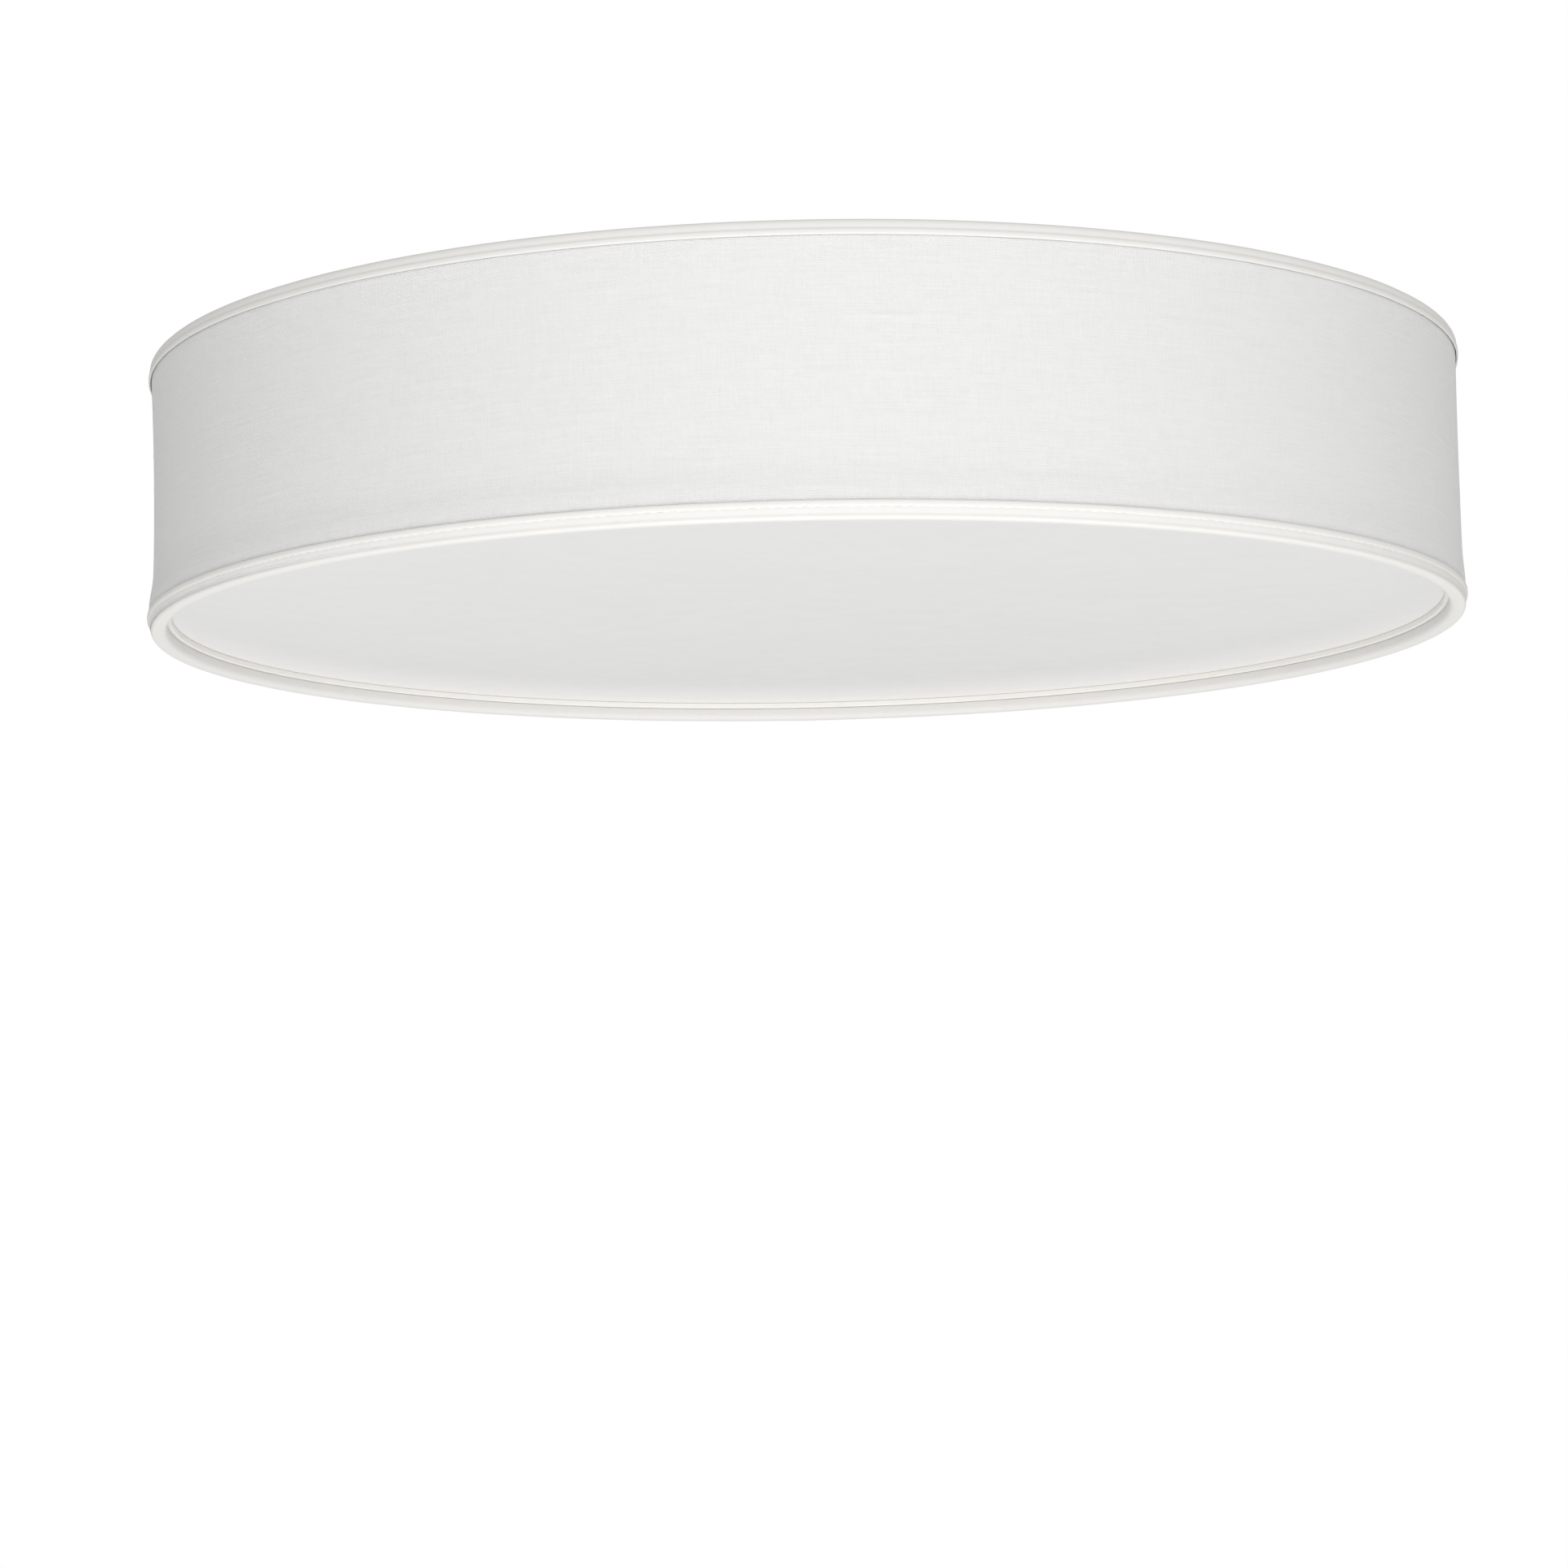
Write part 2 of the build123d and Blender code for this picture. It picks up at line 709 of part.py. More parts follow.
with BuildPart() as bracket_screws:
    for angle in lamp_angles:
        across = upright_plane(angle).z_dir
        for side in (-1, 1):
            foot = radial(angle) * bracket_screw_circle + across * (side * bracket_screw_spread / 2)
            seat = Plane(origin=foot + Vector(0, 0, pan_bottom - bracket_wall), x_dir=across, z_dir=(0, 0, -1))
            with BuildSketch(seat):
                Circle(screw_head_radius)
            extrude(amount=screw_head_height)
            with BuildSketch(seat):
                Circle(screw_radius)
            extrude(amount=-(bracket_wall + pan_wall + screw_nut_height + screw_end))
            with BuildSketch(seat.offset(screw_head_height)):
                Rectangle(2 * screw_head_radius, screw_slot)
            extrude(amount=-screw_head_height / 2, mode=Mode.SUBTRACT)
finish(bracket_screws, "bracket_screws")

with BuildPart() as bracket_nuts:
    for angle in lamp_angles:
        across = upright_plane(angle).z_dir
        for side in (-1, 1):
            foot = radial(angle) * bracket_screw_circle + across * (side * bracket_screw_spread / 2)
            seat = Plane(origin=foot + Vector(0, 0, pan_floor), x_dir=across, z_dir=(0, 0, 1))
            with BuildSketch(seat):
                RegularPolygon(radius=screw_nut_width / math.sqrt(3), side_count=6)
                Circle(screw_radius + thread_gap, mode=Mode.SUBTRACT)
            extrude(amount=screw_nut_height)
finish(bracket_nuts, "bracket_nuts")

with BuildPart() as socket_screws:
    for angle in lamp_angles:
        for side in (-1, 1):
            height = lamp_z + side * socket_screw_spread / 2
            seat = Plane(origin=radial(angle) * bracket_reach + Vector(0, 0, height),
                         x_dir=(0, 0, 1), z_dir=-radial(angle))
            with BuildSketch(seat):
                Circle(screw_head_radius)
            extrude(amount=screw_head_height)
            with BuildSketch(seat):
                Circle(screw_radius)
            extrude(amount=-(bracket_wall + socket_screw_depth))
            with BuildSketch(seat.offset(screw_head_height)):
                Rectangle(2 * screw_head_radius, screw_slot)
            extrude(amount=-screw_head_height / 2, mode=Mode.SUBTRACT)
finish(socket_screws, "socket_screws")
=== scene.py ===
import json
import math
import bpy
import numpy as np
from mathutils import Matrix, Vector


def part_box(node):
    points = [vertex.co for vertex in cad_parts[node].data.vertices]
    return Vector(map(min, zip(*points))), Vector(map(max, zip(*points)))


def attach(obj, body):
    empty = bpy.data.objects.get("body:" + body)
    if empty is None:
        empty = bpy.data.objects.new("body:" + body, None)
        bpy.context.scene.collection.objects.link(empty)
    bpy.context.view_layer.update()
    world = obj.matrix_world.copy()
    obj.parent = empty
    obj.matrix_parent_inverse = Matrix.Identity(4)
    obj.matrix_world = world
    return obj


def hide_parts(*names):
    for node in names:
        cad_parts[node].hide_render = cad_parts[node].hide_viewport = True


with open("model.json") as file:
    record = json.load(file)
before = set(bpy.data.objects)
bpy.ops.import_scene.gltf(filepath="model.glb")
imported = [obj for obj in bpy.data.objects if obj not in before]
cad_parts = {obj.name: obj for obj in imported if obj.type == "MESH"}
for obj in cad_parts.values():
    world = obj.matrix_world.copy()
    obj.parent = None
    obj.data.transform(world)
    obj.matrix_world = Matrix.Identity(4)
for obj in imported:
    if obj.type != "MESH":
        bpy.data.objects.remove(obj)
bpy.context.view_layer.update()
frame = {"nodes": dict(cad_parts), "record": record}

MM = 0.001
SEED = 11

# Places that the frame gives, in metres
fabric_low, fabric_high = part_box("shade_fabric")
trim_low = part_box("bottom_trim")[0].z
trim_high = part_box("top_trim")[1].z
fabric_radius = fabric_high.x
wall_height = fabric_high.z - fabric_low.z
seam_angle = math.radians(90)          # the overlap of the drum's wall is at the back

# The wall of the drum
thread_spacing = 0.52 * MM
lap_width = 12 * MM                    # overlap of the wall at the seam
lap_ramp = 2.5 * MM                    # along the wall, where the outer layer climbs on the inner one
lap_lift = 1.0 * MM                    # outer layer over the inner one
cut_drop = 0.9 * MM                    # from the outer layer down to its cut edge
wall_wander = 0.08 * MM                # slow unevenness round the drum
wall_draw = 0.45 * MM                  # inwards, halfway up
left_draw = 0.8 * MM                   # added to it on the far left
wall_swell = 0.75 * MM                 # outwards, just above the lower tape
left_swell = 0.9 * MM                  # added to it on the far left
swell_height = 9 * MM                  # of its peak above the lower edge, and how far it reaches

# The tapes and their stitches
tape_thickness = 0.54 * MM
tape_over_lap = 0.9 * MM               # how far a tape stands out over the wall's overlap
joint_lift = 0.45 * MM                 # a tape's end over its start
joint_turn = 0.06                      # from the seam to the tapes' joint, in radians
joint_start, joint_end = -8 * MM, 7 * MM   # along the wall, from the middle of the joint
joint_ramp = 0.8 * MM                  # along the wall, where it rises and falls
tape_ripple = 0.14 * MM                # quick unevenness, in and out
tape_waver = 0.10 * MM                 # slow unevenness, up and down
outer_depth = 3 * MM                   # under the fabric's face, where the unevenness ends
follow_from, follow_to = 2 * MM, 7 * MM    # heights between which a tape takes up the wall's swell
stitch_pitch = 5.3 * MM
stitch_length = 4.1 * MM
stitch_radius = 0.24 * MM
stitch_offset = 0.48 * MM              # from the fabric's outer face to the stitches
stitch_height = 4.95 * MM              # from the rim to the stitches
stitch_sink = 0.22 * MM                # how far their ends go in

# The ledge
lip_gap = 0.03 * MM                    # between the ledge's lip and the disc that lies on it

wall_columns, wall_rows = ((1100, 160))
ring_columns = 1080


# --- Mesh helpers ---

def grid_piece(name, points, close_rows=False, close_columns=False, uv=None):
    """Smooth quad mesh from points[row][column], joined up where a direction is closed."""
    rows, columns = points.shape[:2]
    row_count = rows if close_rows else rows - 1
    column_count = columns if close_columns else columns - 1
    r, c = np.meshgrid(np.arange(row_count), np.arange(column_count), indexing="ij")
    r2, c2 = (r + 1) % rows, (c + 1) % columns
    quads = np.stack([r * columns + c, r * columns + c2, r2 * columns + c2, r2 * columns + c], -1)
    quads = quads.reshape(-1, 4)
    mesh = bpy.data.meshes.new(name)
    mesh.vertices.add(rows * columns)
    mesh.vertices.foreach_set("co", points.reshape(-1).astype(np.float32))
    mesh.loops.add(quads.size)
    mesh.loops.foreach_set("vertex_index", quads.reshape(-1).astype(np.int32))
    mesh.polygons.add(len(quads))
    mesh.polygons.foreach_set("loop_start", np.arange(0, quads.size, 4, dtype=np.int32))
    mesh.update(calc_edges=True)
    mesh.shade_smooth()
    if uv is not None:
        layer = mesh.uv_layers.new(name="cloth")
        corners = np.stack([uv[r, c], uv[r, c + 1], uv[r + 1, c + 1], uv[r + 1, c]], 2)
        layer.data.foreach_set("uv", corners.reshape(-1).astype(np.float32))
    mesh.validate()
    piece = bpy.data.objects.new(name, mesh)
    bpy.context.scene.collection.objects.link(piece)
    return piece


def round_points(radius, angle, height):
    """Points at a radius, an angle and a height about the drum's axis."""
    return np.stack(np.broadcast_arrays(radius * np.cos(angle), radius * np.sin(angle), height), -1)


def smooth_line(points, rounds=3):
    """Open polyline with its corners cut, its ends kept."""
    line = np.array(points, float)
    for _ in range(rounds):
        near = 0.75 * line[:-1] + 0.25 * line[1:]
        far = 0.25 * line[:-1] + 0.75 * line[1:]
        middle = np.stack([near, far], 1).reshape(-1, 2)
        line = np.concatenate([line[:1], middle, line[-1:]])
    return line


def thick_loop(line, thickness):
    """Closed section of a tape: a line and its copy on the right of it."""
    along = np.gradient(line, axis=0)
    along /= np.linalg.norm(along, axis=1)[:, None]
    right = np.stack([along[:, 1], -along[:, 0]], 1)
    return np.concatenate([line, (line + thickness * right)[::-1]])


def soft_step(x, low, high):
    """0 below low, 1 above high, smooth between."""
    t = np.clip((x - low) / (high - low), 0, 1)
    return t * t * (3 - 2 * t)


def arc_from_seam(angle):
    """Distance along the wall from the seam, in metres, negative on its right."""
    turn = (angle - seam_angle + math.pi) % (2 * math.pi) - math.pi
    return turn * fabric_radius


def lap_rise(angle):
    """How far the tapes stand out where they pass over the wall's overlap."""
    reach = np.abs(arc_from_seam(angle))
    return tape_over_lap * (1 - soft_step(reach, 0.5 * lap_width, 1.2 * lap_width))


def joint_rise(angle):
    """How far a tape's end stands out where it laps over its start."""
    reach = arc_from_seam(angle + joint_turn)
    begun = soft_step(reach, joint_start, joint_start + joint_ramp)
    ended = soft_step(reach, joint_end, joint_end + joint_ramp)
    return joint_lift * begun * (1 - ended)


def hole_radius(node):
    """Radius of the hole through a ring."""
    return min(math.hypot(v.co.x, v.co.y) for v in node.data.vertices)


def wander(angle, amount, rng, orders=(2, 3, 5, 8, 13)):
    """Smooth random unevenness round the drum, the same after a full turn."""
    total = np.zeros_like(angle)
    for order in orders:
        wave = np.cos(order * angle + rng.uniform(0, 2 * math.pi))
        total += wave * rng.uniform(0.4, 1) / len(orders)
    return amount * total


# --- Materials ---

class Finish:
    """A procedural material and short calls for its nodes."""

    def __init__(self, name, roughness, metallic=0.0, specular=0.5, ior=1.45):
        self.material = bpy.data.materials.new(name)
        self.material.use_nodes = True
        self.tree = self.material.node_tree
        self.shader = self.tree.nodes["Principled BSDF"]
        self.shader.inputs["Metallic"].default_value = metallic
        self.shader.inputs["Roughness"].default_value = roughness
        self.shader.inputs["Specular IOR Level"].default_value = specular
        self.shader.inputs["IOR"].default_value = ior

    def node(self, kind, links=None, **settings):
        """New node, with inputs from values or from other nodes' outputs."""
        made = self.tree.nodes.new(kind)
        for key, value in settings.items():
            setattr(made, key, value)
        for key, value in (links or {}).items():
            socket = made.inputs[key]
            if isinstance(value, bpy.types.NodeSocket):
                self.tree.links.new(value, socket)
            else:
                socket.default_value = value
        return made

    def math(self, operation, *values):
        return self.node("ShaderNodeMath", dict(enumerate(values)), operation=operation).outputs[0]

    def noise(self, vector, scale, detail=3.0):
        values = {"Vector": vector, "Scale": scale, "Detail": detail, "Roughness": 0.55}
        return self.node("ShaderNodeTexNoise", values).outputs["Fac"]

    def place(self, stretch=(1, 1, 1), source="Object"):
        """Object or cloth coordinates, stretched."""
        coordinates = self.node("ShaderNodeTexCoord").outputs[source]
        scaled = self.node("ShaderNodeVectorMath", {0: coordinates, 1: stretch}, operation="MULTIPLY")
        return scaled.outputs[0]

    def mix(self, share, low, high):
        """Colour between low and high."""
        made = self.node("ShaderNodeMix", data_type="RGBA")
        for socket, value in ((made.inputs[0], share), (made.inputs[6], low), (made.inputs[7], high)):
            if isinstance(value, bpy.types.NodeSocket):
                self.tree.links.new(value, socket)
            else:
                socket.default_value = value
        return made.outputs[2]

    def ramp(self, value, low, high):
        """Value mapped from low..high to 0..1."""
        return self.node("ShaderNodeMapRange", {0: value, 1: low, 2: high}).outputs[0]

    def span(self, value, low, high):
        """Value from 0..1 mapped to low..high."""
        return self.node("ShaderNodeMapRange", {0: value, 3: low, 4: high}).outputs[0]

    def colour(self, value):
        self.tree.links.new(value, self.shader.inputs["Base Color"])

    def rough(self, value):
        self.tree.links.new(value, self.shader.inputs["Roughness"])

    def bump(self, height, distance):
        values = {"Height": height, "Distance": distance, "Strength": 1.0}
        made = self.node("ShaderNodeBump", values)
        self.tree.links.new(made.outputs[0], self.shader.inputs["Normal"])


def grey(level, warm=0.0):
    """Near-white colour; warm takes away blue."""
    return (level, level * (1 - 0.3 * warm), level * (1 - warm), 1)


def linen_finish():
    """Plain woven linen: threads both ways, uneven yarns and a dry sheen."""
    f = Finish("linen", roughness=0.92, specular=0.15)
    cloth = f.place(source="UV")
    split = f.node("ShaderNodeSeparateXYZ", {0: cloth})
    weft_drift = f.noise(f.place((60, 900, 1), "UV"), 1.0)
    warp_drift = f.noise(f.place((900, 60, 1), "UV"), 1.0)
    drift = 0.35 * thread_spacing
    u = f.math("MULTIPLY_ADD", warp_drift, drift, split.outputs[0])
    v = f.math("MULTIPLY_ADD", weft_drift, drift, split.outputs[1])
    turns_u = f.math("MULTIPLY", u, 1 / thread_spacing)
    turns_v = f.math("MULTIPLY", v, 1 / thread_spacing)
    warp = f.math("ABSOLUTE", f.math("SINE", f.math("MULTIPLY", turns_u, math.pi)))
    weft = f.math("ABSOLUTE", f.math("SINE", f.math("MULTIPLY", turns_v, math.pi)))
    cell = f.math("ADD", f.math("FLOOR", turns_u), f.math("FLOOR", turns_v))
    over = f.math("PINGPONG", cell, 1.0)
    weave = f.math("ADD", f.math("MULTIPLY", warp, over),
                   f.math("MULTIPLY", weft, f.math("SUBTRACT", 1.0, over)))
    weft_yarn = f.noise(f.place((45, 1700, 1), "UV"), 1.0, detail=2.0)
    warp_yarn = f.noise(f.place((1700, 70, 1), "UV"), 1.0, detail=2.0)
    yarn = f.math("ADD", f.math("MULTIPLY", weft_yarn, 0.6), f.math("MULTIPLY", warp_yarn, 0.4))
    height = f.math("MULTIPLY_ADD", yarn, 1.4, weave)
    tone = f.math("ADD", f.math("MULTIPLY", weave, 0.35), f.math("MULTIPLY", yarn, 0.9))
    f.colour(f.mix(f.ramp(tone, 0.35, 1.05), grey(0.83, 0.01), grey(0.945, 0.012)))
    f.bump(height, 0.14 * MM)
    f.shader.inputs["Sheen Weight"].default_value = 0.08
    f.shader.inputs["Sheen Roughness"].default_value = 0.6
    return f.material


def tape_finish():
    """Close woven tape: a fine uneven grain and a faint warm tone."""
    f = Finish("binding_tape", roughness=0.85, specular=0.1)
    fine = f.noise(f.place(), 1800.0, detail=2.0)
    cloud = f.noise(f.place(), 90.0)
    tone = f.math("MULTIPLY_ADD", fine, 0.6, f.math("MULTIPLY", cloud, 0.4))
    f.colour(f.mix(tone, grey(0.725, 0.05), grey(0.785, 0.045)))
    f.bump(fine, 0.05 * MM)
    return f.material


def acrylic_finish():
    """Satin opal acrylic: even, faintly mottled, with a soft reflection."""
    f = Finish("acrylic", roughness=0.22, specular=0.5, ior=1.49)
    cloud = f.noise(f.place(), 14.0, detail=4.0)
    f.colour(f.mix(cloud, grey(0.785, 0.012), grey(0.82, 0.012)))
    f.rough(f.span(f.noise(f.place(), 60.0), 0.19, 0.25))
    f.bump(f.noise(f.place(), 2600.0, detail=1.0), 0.004 * MM)
    return f.material


def coat_finish(name, base, roughness, grain, relief):
    """Powder coat, paint or moulded plastic with slight orange peel and tone changes."""
    f = Finish(name, roughness=roughness)
    cloud = f.noise(f.place(), 25.0, detail=4.0)
    dark = tuple(0.94 * v for v in base[:3]) + (1,)
    f.colour(f.mix(cloud, dark, base))
    f.rough(f.span(f.noise(f.place(), 120.0), 0.85 * roughness, min(1.0, 1.2 * roughness)))
    f.bump(f.noise(f.place(), grain, detail=2.0), relief * MM)
    return f.material


def metal_finish(name, base, roughness):
    """Plated or rolled metal with fine marks and cloudy roughness."""
    f = Finish(name, roughness=roughness, metallic=1.0)
    marks = f.noise(f.place(), 900.0)
    cloud = f.noise(f.place(), 70.0, detail=4.0)
    dark = tuple(0.8 * v for v in base[:3]) + (1,)
    tone = f.math("MULTIPLY_ADD", marks, 0.4, f.math("MULTIPLY", cloud, 0.6))
    f.colour(f.mix(tone, dark, base))
    f.rough(f.span(cloud, 0.7 * roughness, 1.3 * roughness))
    f.bump(marks, 0.01 * MM)
    return f.material


def board_finish():
    """Board coated in white, faintly uneven."""
    f = Finish("lamp_board", roughness=0.45)
    cloud = f.noise(f.place(), 300.0)
    f.colour(f.mix(cloud, (0.80, 0.80, 0.76, 1), (0.90, 0.90, 0.87, 1)))
    return f.material


finishes = {
    "styrene": coat_finish("styrene", grey(0.86, 0.01), 0.45, 500.0, 0.01),
    "white_wire": coat_finish("white_wire", grey(0.84, 0.02), 0.35, 1500.0, 0.02),
    "acrylic": acrylic_finish(),
    "white_plastic": coat_finish("white_plastic", grey(0.86, 0.07), 0.5, 900.0, 0.01),
    "white_enamel": coat_finish("white_enamel", grey(0.84, 0.015), 0.3, 700.0, 0.02),
    "zinc_steel": metal_finish("zinc_steel", (0.66, 0.66, 0.63, 1), 0.36),
    "green_paint": coat_finish("green_paint", (0.03, 0.22, 0.07, 1), 0.4, 1200.0, 0.02),
    "nickel": metal_finish("nickel", (0.72, 0.69, 0.63, 1), 0.22),
    "black_nylon": coat_finish("black_nylon", (0.03, 0.03, 0.03, 1), 0.55, 1500.0, 0.02),
    "porcelain": coat_finish("porcelain", grey(0.82, 0.05), 0.12, 200.0, 0.01),
    "brass": metal_finish("brass", (0.80, 0.60, 0.26, 1), 0.25),
    "black_glass": coat_finish("black_glass", (0.02, 0.02, 0.025, 1), 0.1, 200.0, 0.01),
    "lamp_cap_metal": metal_finish("lamp_cap_metal", (0.76, 0.75, 0.72, 1), 0.28),
    "lamp_housing_plastic": coat_finish("lamp_housing_plastic", grey(0.86, 0.01), 0.3, 800.0, 0.01),
    "lamp_board_metal": board_finish(),
    "opal_plastic": coat_finish("opal_plastic", grey(0.88, 0.015), 0.38, 1800.0, 0.01),
}

for part in frame["record"]["subparts"]:
    if part["material_slot"] in finishes:
        materials = frame["nodes"][part["node"]].data.materials
        materials.clear()
        materials.append(finishes[part["material_slot"]])


# --- Linen wall ---

def slub_relief(u, v, width, height, rng):
    """Raised slubs along the threads, and a few knots, on the cloth's own grid."""
    relief = np.zeros((len(v), len(u)))
    spacing_u, spacing_v = u[1] - u[0], v[1] - v[0]
    # Count, then lengths, half widths and rises in millimetres, and whether they follow the warp
    kinds = (
        (900, (8, 46), (0.30, 0.55), (0.03, 0.10), False),
        (260, (5, 22), (0.30, 0.50), (0.03, 0.08), True),
        (46, (0.9, 1.8), (0.45, 0.8), (0.10, 0.22), False),
    )
    for count, lengths, halves, rises, upright in kinds:
        for _ in range(count):
            half_long = rng.uniform(*lengths) * MM / 2
            half_wide = rng.uniform(*halves) * MM
            half_u, half_v = (half_wide, half_long) if upright else (half_long, half_wide)
            half_u, half_v = max(half_u, spacing_u), max(half_v, spacing_v)
            middle_u, middle_v = rng.uniform(0, width), rng.uniform(0, height)
            first_u = max(int((middle_u - 2 * half_u) / spacing_u), 0)
            last_u = int((middle_u + 2 * half_u) / spacing_u) + 2
            first_v = max(int((middle_v - 2 * half_v) / spacing_v), 0)
            last_v = int((middle_v + 2 * half_v) / spacing_v) + 2
            across = np.exp(-((u[first_u:last_u] - middle_u) / half_u) ** 2)
            down = np.exp(-((v[first_v:last_v] - middle_v) / half_v) ** 2)
            slub = rng.uniform(*rises) * MM * np.outer(down, across)
            relief[first_v:last_v, first_u:last_u] += slub
    return relief


def wall_offset(angle, height):
    """How far the wall stands out from a straight cylinder, at a height above its lower edge.

    It draws in halfway up, most on the left, and swells just above the lower tape."""
    side = 0.5 * (1 - np.cos(angle))
    middle = 2 * height / wall_height - 1
    draw = (wall_draw + left_draw * side) * (1 - middle ** 2)
    near_peak = np.exp(-((height - swell_height) / swell_height) ** 2)
    return (wall_swell + left_swell * side ** 2) * near_peak - draw


def linen_wall():
    """The drum's linen: one strip whose end laps over its start."""
    rng = np.random.default_rng(SEED)
    width = 2 * math.pi * fabric_radius + lap_width
    u = np.linspace(0, width, wall_columns)
    v = np.linspace(0, wall_height, wall_rows)
    angle = seam_angle - 0.5 * lap_width / fabric_radius + u / fabric_radius
    offset = wall_offset(angle[None, :], v[:, None])
    lap = lap_lift * soft_step(u, width - lap_width - lap_ramp, width - lap_width)
    radius = fabric_radius + offset + lap + wander(angle, wall_wander, rng)
    radius = radius + slub_relief(u, v, width, wall_height, rng)
    radius[:, -1] -= cut_drop
    points = round_points(radius, angle, (fabric_low.z + v)[:, None])
    uv = np.stack(np.broadcast_arrays(u[None, :], v[:, None]), -1)
    piece = grid_piece("linen_wall", points, uv=uv)
    piece.data.materials.append(linen_finish())
    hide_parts("shade_fabric")
    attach(piece, "fixture")
    return piece


# --- Binding tapes ---

# Each section runs from the tape's edge on the fabric, over the rim, to its edge inside.
# Radii are measured from the fabric's outer face and heights from the rim, in millimetres.
bottom_section = [
    (0.3, 7.6), (0.55, 7.85), (0.85, 7.6), (0.95, 6.9), (0.95, 6.0), (0.85, 5.4),
    (0.45, 5.0), (0.42, 4.8), (0.55, 4.4), (0.52, 3.4), (0.42, 2.3), (0.5, 1.6),
    (0.35, 0.9), (-0.3, 0.25), (-1.4, 0.0),
    (-3.2, 0.0), (-4.8, 0.2), (-6.2, 0.9), (-6.9, 2.2), (-7.0, 3.6), (-7.0, 4.9), (-6.8, 5.85),
]
top_section = [
    (0.5, 6.65), (0.95, 6.8), (1.3, 6.3), (1.35, 5.2), (1.15, 4.4), (0.85, 4.05),
    (0.8, 3.4), (0.75, 2.2), (0.4, 0.9), (-0.6, 0.15), (-2.2, 0.0),
    (-4.0, 0.0), (-5.2, 0.35), (-5.85, 1.3), (-5.95, 2.8), (-5.9, 6.8),
]


def follow(height):
    """Share of the wall's own swell that a tape takes up, by height above its rim."""
    return soft_step(height, follow_from, follow_to)


def tape(name, node, section, edge_height, into, seed):
    """Binding tape folded over one rim of the drum; into is 1 where the drum is above the edge."""
    rng = np.random.default_rng(seed)
    angle = np.linspace(0, 2 * math.pi, ring_columns, endpoint=False)
    line = smooth_line(section) * MM
    loop = thick_loop(line, tape_thickness)
    outer_share = np.clip(loop[:, :1] / outer_depth + 1, 0, 1)
    ripple = wander(angle, tape_ripple, rng, orders=(7, 19, 31, 53, 97))
    edge_on_wall = abs(edge_height + into * section[0][1] * MM - fabric_low.z)
    swell = wall_offset(angle, edge_on_wall) * follow(loop[:, 1:])
    rise = lap_rise(angle) + joint_rise(angle) + ripple + swell
    radius = fabric_radius + loop[:, :1] + rise * outer_share
    lift = wander(angle, tape_waver, rng, orders=(3, 11, 23, 41)) * outer_share
    points = round_points(radius, angle, edge_height + into * (loop[:, 1:] + lift))
    if into < 0:
        points = points[:, ::-1]
    piece = grid_piece(name, points, close_rows=True, close_columns=True)
    piece.data.materials.append(tape_material)
    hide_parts(node)
    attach(piece, "fixture")
    return piece


def stitch_row(name, offset, height, count):
    """Row of short threads sunk into the groove under the bottom tape's bead."""
    sides, rings = 6, 7
    edge_on_wall = trim_low + bottom_section[0][1] * MM - fabric_low.z
    t = np.linspace(-1, 1, rings)[:, None]
    turn = np.linspace(0, 2 * math.pi, sides, endpoint=False)
    thread = stitch_radius * np.sqrt(np.clip(1 - np.abs(t) ** 3, 0, 1))
    stitches = []
    for index in range(count):
        middle = 2 * math.pi * index / count
        swell = wall_offset(middle, edge_on_wall) * follow(height - trim_low)
        radius = fabric_radius + offset + swell + lap_rise(middle) + joint_rise(middle)
        angle = middle + 0.5 * stitch_length / radius * t
        ring_out = radius - stitch_sink * np.abs(t) ** 3 + thread * np.cos(turn)
        stitches.append(round_points(ring_out, angle, height + thread * np.sin(turn)))
    mesh = bpy.data.meshes.new(name)
    ring, side = np.meshgrid(np.arange(rings - 1), np.arange(sides), indexing="ij")
    after = (side + 1) % sides
    quads = np.stack([ring * sides + side, (ring + 1) * sides + side,
                      (ring + 1) * sides + after, ring * sides + after], -1).reshape(-1, 4)
    quads = quads[None] + np.arange(count)[:, None, None] * rings * sides
    mesh.from_pydata(np.array(stitches).reshape(-1, 3).tolist(), [], quads.reshape(-1, 4).tolist())
    mesh.shade_smooth()
    piece = bpy.data.objects.new(name, mesh)
    bpy.context.scene.collection.objects.link(piece)
    piece.data.materials.append(tape_material)
    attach(piece, "fixture")
    return piece


tape_material = tape_finish()
linen_wall()
tape("bottom_tape", "bottom_trim", bottom_section, trim_low, 1,
     SEED + 1)
tape("top_tape", "top_trim", top_section, trim_high, -1, SEED + 2)
stitch_count = round(2 * math.pi * fabric_radius / stitch_pitch)
stitch_row("bottom_stitches", stitch_offset, trim_low + stitch_height, stitch_count)


# --- Ledge that carries the diffuser ---

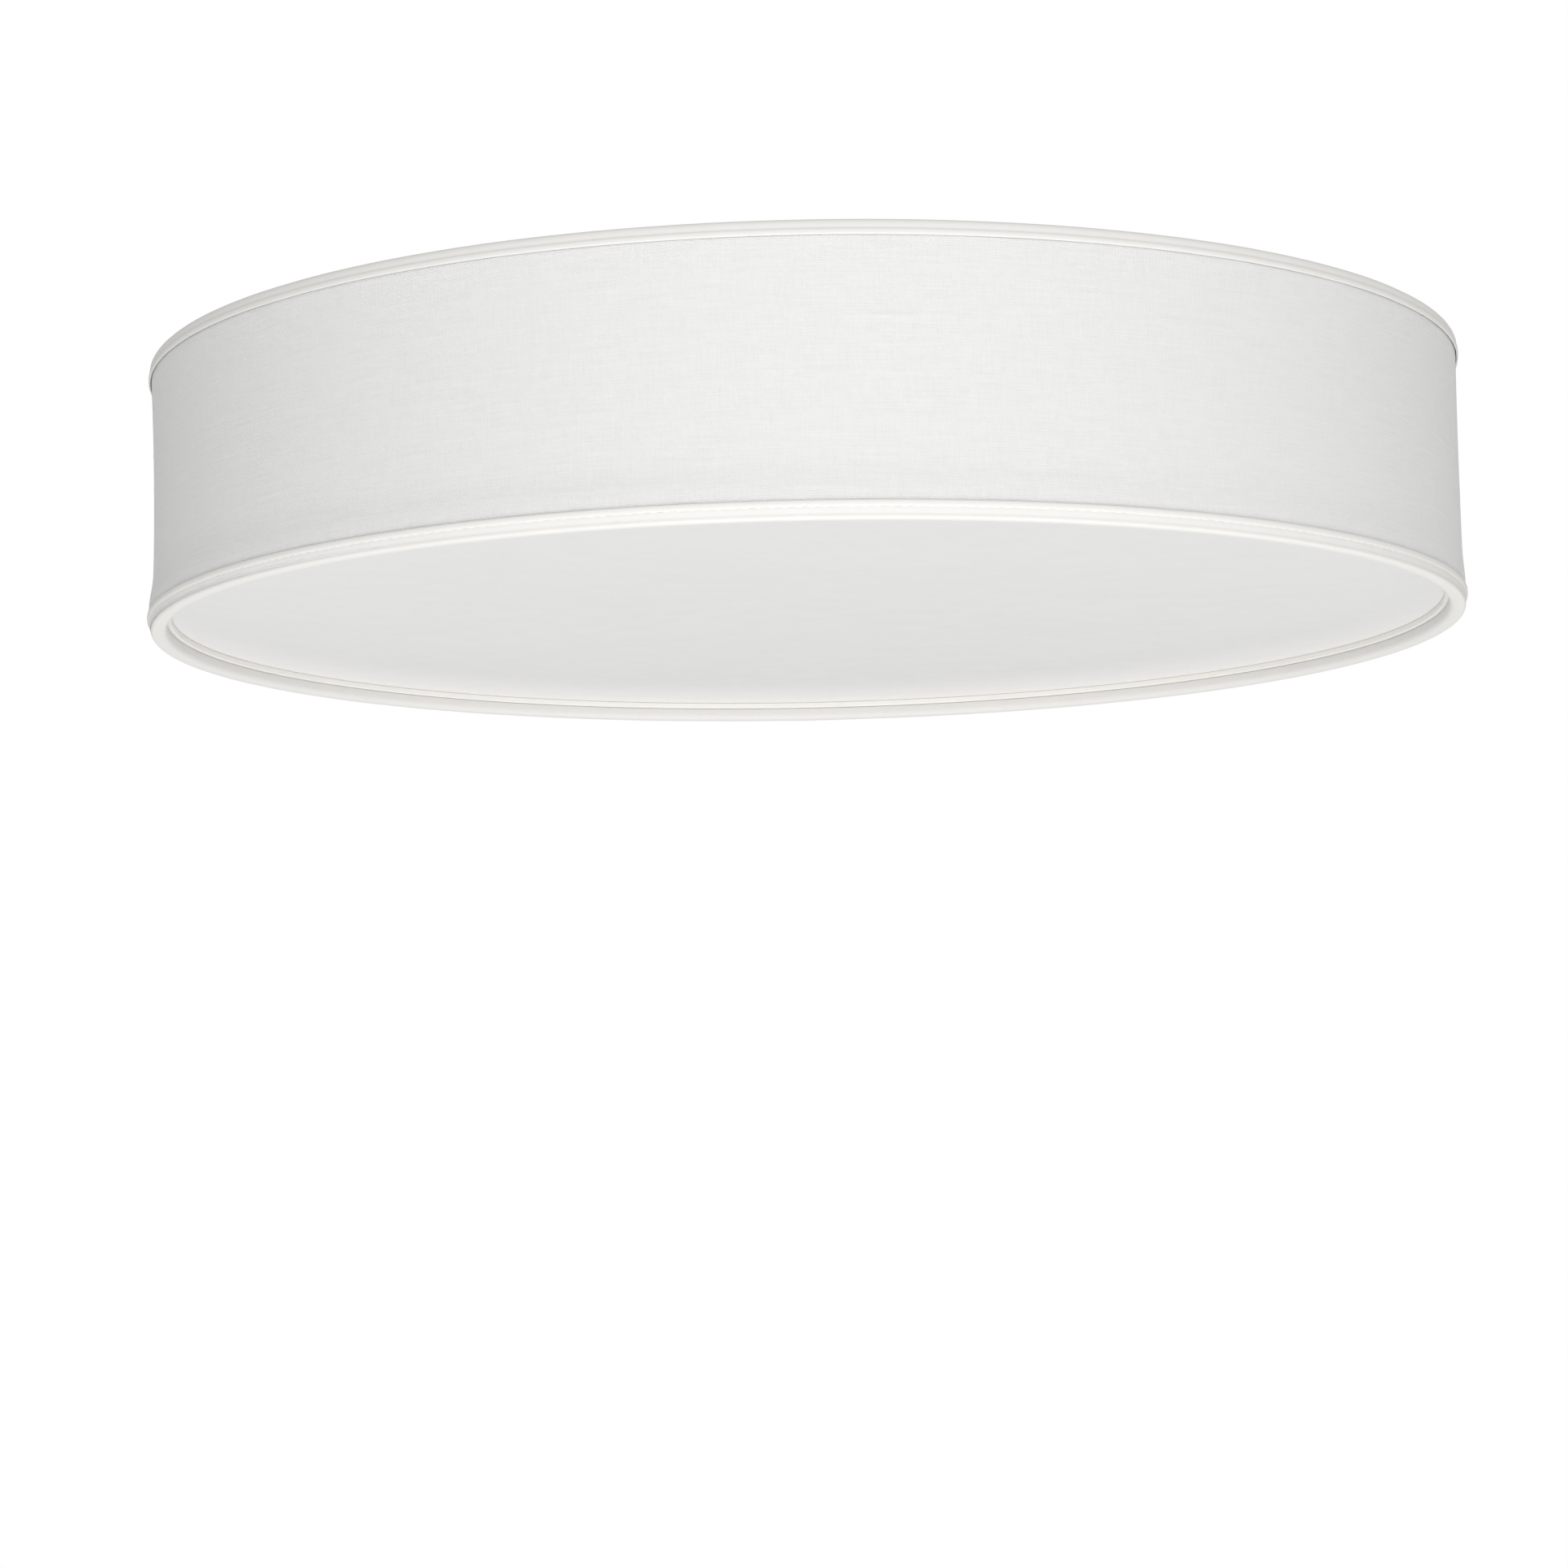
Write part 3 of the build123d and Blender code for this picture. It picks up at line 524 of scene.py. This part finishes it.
def ledge():
    """Moulded ring with rounded edges; its inner lip reaches up to the disc."""
    low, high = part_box("diffuser_seat")
    disc_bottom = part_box("diffuser")[0].z
    inside = hole_radius(frame["nodes"]["diffuser_seat"])
    lip_top = disc_bottom - lip_gap
    section = [
        (high.x, high.z), (high.x, low.z), (inside + 1.0 * MM, low.z),
        (inside + 0.35 * MM, low.z + 0.15 * MM), (inside + 0.2 * MM, low.z + 0.7 * MM),
        (inside, lip_top - 0.3 * MM), (inside + 0.1 * MM, lip_top),
        (inside + 0.6 * MM, lip_top), (inside + 1.2 * MM, high.z),
    ]
    angle = np.linspace(0, 2 * math.pi, ring_columns, endpoint=False)
    line = np.array(section)[::-1]
    line = smooth_line(np.concatenate([line, line[:1]]), rounds=2)[:-1]
    points = round_points(line[:, :1], angle, line[:, 1:])
    piece = grid_piece("diffuser_ledge", points, close_rows=True, close_columns=True)
    piece.data.materials.append(finishes["white_plastic"])
    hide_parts("diffuser_seat")
    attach(piece, "fixture")
    return piece


ledge()


# --- Floor, light and camera ---

floor_height = -2.75
floor_reach = 28.0
ambient_level = 0.57                   # the world's strength as light

# Square area lights: name, place, side and watts
light_aim = (0, 0, -0.06)
studio_lights = (
    ("high_light", (0.3, -3.0, 1.2), 2.4, 18),
    ("right_light", (1.4, -3.15, -0.5), 2.4, 22),
    ("left_light", (-1.4, -3.2, -0.5), 2.4, 10),
    ("low_light", (0, -1.0, -2.5), 3.0, 66),
)

# The photograph's view
camera_distance = 2.052                # in front of the drum's axis
camera_height = trim_low - 0.314
camera_pitch = math.radians(6.784)
camera_roll = math.radians(-1.129)
camera_yaw = math.radians(-0.353)
sensor_width = 36.0                    # in millimetres, as Blender counts it
lens_in_frame_widths = 2.832


def make_floor():
    mesh = bpy.data.meshes.new("floor")
    corners = [(x * floor_reach, y * floor_reach, floor_height)
               for x, y in ((-1, -1), (1, -1), (1, 1), (-1, 1))]
    mesh.from_pydata(corners, [], [(0, 1, 2, 3)])
    floor = bpy.data.objects.new("floor", mesh)
    bpy.context.scene.collection.objects.link(floor)
    f = Finish("floor", roughness=0.9, specular=0.1)
    f.colour(f.mix(f.noise(f.place(), 1.5), grey(0.86), grey(0.88)))
    mesh.materials.append(f.material)


def make_world(ambient):
    """White to the camera and in reflections, and a plainer level as light."""
    world = bpy.data.worlds.new("studio")
    world.use_nodes = True
    bpy.context.scene.world = world
    nodes, links = world.node_tree.nodes, world.node_tree.links
    background = nodes["Background"]
    background.inputs["Color"].default_value = (1, 1, 1, 1)
    path = nodes.new("ShaderNodeLightPath")
    seen = path.outputs["Is Camera Ray"]
    for ray in ("Is Transmission Ray", "Is Glossy Ray"):
        either = nodes.new("ShaderNodeMath")
        either.operation = "MAXIMUM"
        links.new(seen, either.inputs[0])
        links.new(path.outputs[ray], either.inputs[1])
        seen = either.outputs[0]
    level = nodes.new("ShaderNodeMapRange")
    links.new(seen, level.inputs[0])
    level.inputs[3].default_value = ambient
    level.inputs[4].default_value = 1.0
    links.new(level.outputs[0], background.inputs["Strength"])


def area_light(name, place, aim, size, power):
    light = bpy.data.lights.new(name, "AREA")
    light.shape = "SQUARE"
    light.size = size
    light.energy = power
    lamp = bpy.data.objects.new(name, light)
    lamp.location = place
    lamp.rotation_mode = "QUATERNION"
    lamp.rotation_quaternion = (Vector(aim) - Vector(place)).to_track_quat("-Z", "Y")
    lamp.visible_camera = False
    bpy.context.scene.collection.objects.link(lamp)


def make_camera():
    data = bpy.data.cameras.new("camera")
    data.sensor_width = sensor_width
    data.lens = sensor_width * lens_in_frame_widths
    data.clip_end = 100
    camera = bpy.data.objects.new("camera", data)
    bpy.context.scene.collection.objects.link(camera)
    right = Vector((math.cos(camera_yaw), -math.sin(camera_yaw), 0))
    level = Vector((math.sin(camera_yaw), math.cos(camera_yaw), 0))
    forward = math.cos(camera_pitch) * level + math.sin(camera_pitch) * Vector((0, 0, 1))
    up = right.cross(forward)
    rolled_right = math.cos(camera_roll) * right + math.sin(camera_roll) * up
    rolled_up = math.cos(camera_roll) * up - math.sin(camera_roll) * right
    turn = Matrix((rolled_right, rolled_up, -forward)).transposed().to_4x4()
    camera.matrix_world = Matrix.Translation((0, -camera_distance, camera_height)) @ turn
    bpy.context.scene.camera = camera


make_floor()
make_world(ambient_level)
for light_name, light_place, light_side, light_watts in studio_lights:
    area_light(light_name, light_place, light_aim, light_side, light_watts)
make_camera()
bpy.context.scene.view_settings.view_transform = "Standard"
